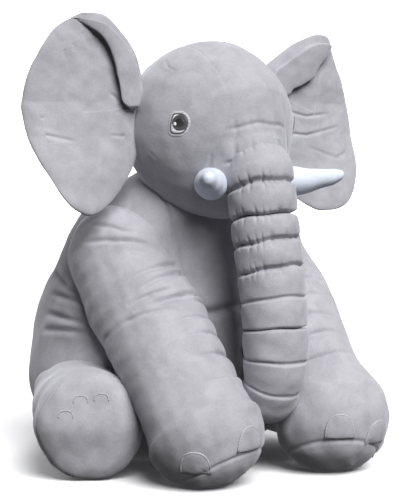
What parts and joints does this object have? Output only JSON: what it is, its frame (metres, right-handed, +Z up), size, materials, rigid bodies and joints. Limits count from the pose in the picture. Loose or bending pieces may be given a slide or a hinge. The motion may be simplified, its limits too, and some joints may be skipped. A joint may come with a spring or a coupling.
{
  "type": "stuffed elephant",
  "caption": "Sitting plush elephant with a jointed stuffed trunk, padded ears, padded tusks, long front legs and short hind legs",
  "frame": {"origin": "on the floor under the middle of the toy", "axes": "+Z up, -Y the way the elephant faces, +X to its left"},
  "size_m": [0.5372, 0.5082, 0.596],
  "materials": {
    "plush": "short velvety pile",
    "tusk_plush": "short pile",
    "filling": "loose polyester fibre",
    "white_thread": "satin stitch",
    "grey_thread": "satin stitch",
    "dark_thread": "satin stitch",
    "toenail_thread": "outline stitch",
    "label": "woven ribbon"
  },
  "bodies": {
    "torso": {"belly_panel": "plush", "torso_side_panel_right": "plush", "torso_side_panel_left": "plush", "torso_stuffing": "filling", "care_label": "label"},
    "head": {"head_centre_gusset": "plush", "head_side_panel_right": "plush", "head_side_panel_left": "plush", "head_stuffing": "filling", "eye_outlines": "dark_thread", "eye_whites": "white_thread", "eye_irises": "grey_thread", "eye_pupils": "dark_thread", "eye_glints": "white_thread", "tusk_cover_right": "tusk_plush", "tusk_stuffing_right": "filling", "tusk_cover_left": "tusk_plush", "tusk_stuffing_left": "filling"},
    "trunk_upper": {"trunk_upper_cover": "plush", "trunk_upper_stuffing": "filling"},
    "trunk_middle": {"trunk_middle_cover": "plush", "trunk_middle_stuffing": "filling"},
    "trunk_tip": {"trunk_tip_cover": "plush", "trunk_tip_stuffing": "filling"},
    "tail": {"tail_cover": "plush", "tail_stuffing": "filling", "tail_tuft": "plush"},
    "ear_right": {"ear_back_panel_right": "plush", "ear_wadding_right": "filling", "ear_front_panel_right": "plush"},
    "front_leg_right": {"front_leg_cover_right": "plush", "front_sole_right": "plush", "front_leg_stuffing_right": "filling", "front_toenails_right": "toenail_thread"},
    "hind_leg_right": {"hind_leg_cover_right": "plush", "hind_sole_right": "plush", "hind_leg_stuffing_right": "filling", "hind_toenails_right": "toenail_thread"},
    "ear_left": {"ear_back_panel_left": "plush", "ear_wadding_left": "filling", "ear_front_panel_left": "plush"},
    "front_leg_left": {"front_leg_cover_left": "plush", "front_sole_left": "plush", "front_leg_stuffing_left": "filling", "front_toenails_left": "toenail_thread"},
    "hind_leg_left": {"hind_leg_cover_left": "plush", "hind_sole_left": "plush", "hind_leg_stuffing_left": "filling", "hind_toenails_left": "toenail_thread"}
  },
  "joints": [
    {"name": "head_nod", "type": "hinge", "parent": "torso", "child": "head", "pos_m": [0, -0.047, 0.448], "axis": [1, 0, 0], "range_deg": [-6, 6], "stiffness_Nm_per_rad": 3},
    {"name": "trunk_lift", "type": "hinge", "parent": "head", "child": "trunk_upper", "pos_m": [0, -0.16, 0.37], "axis": [-1, 0, 0], "range_deg": [0, 45], "stiffness_Nm_per_rad": 0.3},
    {"name": "trunk_bend", "type": "hinge", "parent": "trunk_upper", "child": "trunk_middle", "pos_m": [0, -0.186, 0.262], "axis": [-1, 0, 0], "range_deg": [-10, 38], "stiffness_Nm_per_rad": 0.3},
    {"name": "trunk_curl", "type": "hinge", "parent": "trunk_middle", "child": "trunk_tip", "pos_m": [0, -0.195, 0.153], "axis": [-1, 0, 0], "range_deg": [-15, 45], "stiffness_Nm_per_rad": 0.2},
    {"name": "tail_wag", "type": "hinge", "parent": "torso", "child": "tail", "pos_m": [0, 0.242, 0.178], "axis": [0, 1, 0], "range_deg": [-15, 15], "stiffness_Nm_per_rad": 0.03},
    {"name": "ear_fold_right", "type": "hinge", "parent": "head", "child": "ear_right", "pos_m": [-0.11, -0.039, 0.448], "axis": [0, 0, 1], "range_deg": [-25, 36], "stiffness_Nm_per_rad": 0.15},
    {"name": "front_leg_swing_right", "type": "hinge", "parent": "torso", "child": "front_leg_right", "pos_m": [-0.106, -0.002, 0.282], "axis": [-0.7286, 0.4991, -0.4691], "range_deg": [0, 30], "stiffness_Nm_per_rad": 0.5},
    {"name": "hind_leg_swing_right", "type": "hinge", "parent": "torso", "child": "hind_leg_right", "pos_m": [-0.146, 0.061, 0.098], "axis": [-0.1001, 0.4106, -0.9063], "range_deg": [0, 24], "stiffness_Nm_per_rad": 1},
    {"name": "ear_fold_left", "type": "hinge", "parent": "head", "child": "ear_left", "pos_m": [0.11, -0.039, 0.448], "axis": [0, 0, -1], "range_deg": [-25, 36], "stiffness_Nm_per_rad": 0.15},
    {"name": "front_leg_swing_left", "type": "hinge", "parent": "torso", "child": "front_leg_left", "pos_m": [0.106, -0.002, 0.282], "axis": [-0.7286, -0.4991, 0.4691], "range_deg": [0, 30], "stiffness_Nm_per_rad": 0.5},
    {"name": "hind_leg_swing_left", "type": "hinge", "parent": "torso", "child": "hind_leg_left", "pos_m": [0.146, 0.061, 0.098], "axis": [-0.1001, -0.4106, 0.9063], "range_deg": [0, 24], "stiffness_Nm_per_rad": 1}
  ]
}
